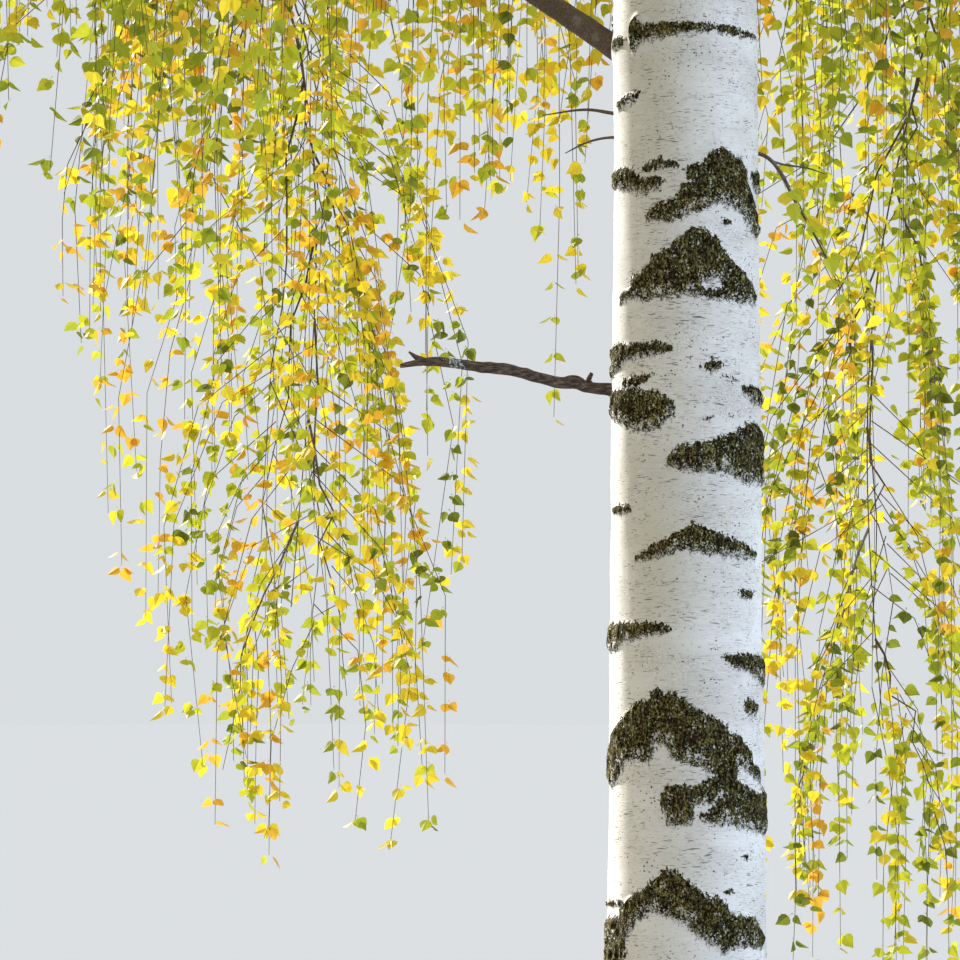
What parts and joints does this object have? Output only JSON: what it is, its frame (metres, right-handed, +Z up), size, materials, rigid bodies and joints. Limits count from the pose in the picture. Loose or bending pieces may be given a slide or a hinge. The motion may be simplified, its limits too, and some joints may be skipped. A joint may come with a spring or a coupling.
{
  "type": "silver birch tree",
  "caption": "Whole silver birch tree in autumn leaf, with a white trunk, arching boughs and weeping foliage.",
  "frame": {"origin": "middle of the flat cut under the trunk, at ground level", "axes": "+Z up along the trunk, +X to the right of the side that the bark was studied from, which is -Y"},
  "size_m": [6.669, 6.6709, 18.76],
  "materials": {
    "white_bark": "papery white bark with rough black-brown scars",
    "dark_bark": "thin red-brown to blackish bark with pale pores",
    "dead_wood": "weathered dead wood with a little lichen",
    "foliage": "thin satin leaves from green over lime to golden yellow, on thin dark twigs"
  },
  "bodies": {
    "root": {"dead_snag": "dead_wood", "high_leaves_1": "foliage", "high_leaves_2": "foliage", "high_leaves_3": "foliage", "high_leaves_4": "foliage", "left_twig_high": "dark_bark", "left_twig_low": "dark_bark", "low_shoot": "foliage", "lower_bough_1": "dark_bark", "lower_bough_2": "dark_bark", "lower_bough_3": "dark_bark", "lower_bough_4": "dark_bark", "lower_bough_5": "dark_bark", "lower_leaves_1": "foliage", "lower_leaves_2": "foliage", "lower_leaves_3": "foliage", "lower_leaves_4": "foliage", "lower_leaves_5": "foliage", "middle_bough_1": "dark_bark", "middle_bough_2": "dark_bark", "middle_bough_3": "dark_bark", "middle_bough_4": "dark_bark", "middle_bough_5": "dark_bark", "middle_leaves_1": "foliage", "middle_leaves_2": "foliage", "middle_leaves_3": "foliage", "middle_leaves_4": "foliage", "middle_leaves_5": "foliage", "peak_leaves_1": "foliage", "peak_leaves_2": "foliage", "peak_leaves_3": "foliage", "skirt_bough_1": "dark_bark", "skirt_bough_2": "dark_bark", "skirt_bough_3": "dark_bark", "skirt_bough_4": "dark_bark", "skirt_bough_5": "dark_bark", "skirt_leaves_1": "foliage", "skirt_leaves_2": "foliage", "skirt_leaves_3": "foliage", "skirt_leaves_4": "foliage", "skirt_leaves_5": "foliage", "top_leaves": "foliage", "trunk": "white_bark", "upper_bough_1": "dark_bark", "upper_bough_2": "dark_bark", "upper_bough_3": "dark_bark", "upper_bough_4": "dark_bark", "upper_leaves_1": "foliage", "upper_leaves_2": "foliage", "upper_leaves_3": "foliage", "upper_leaves_4": "foliage"}
  },
  "joints": []
}
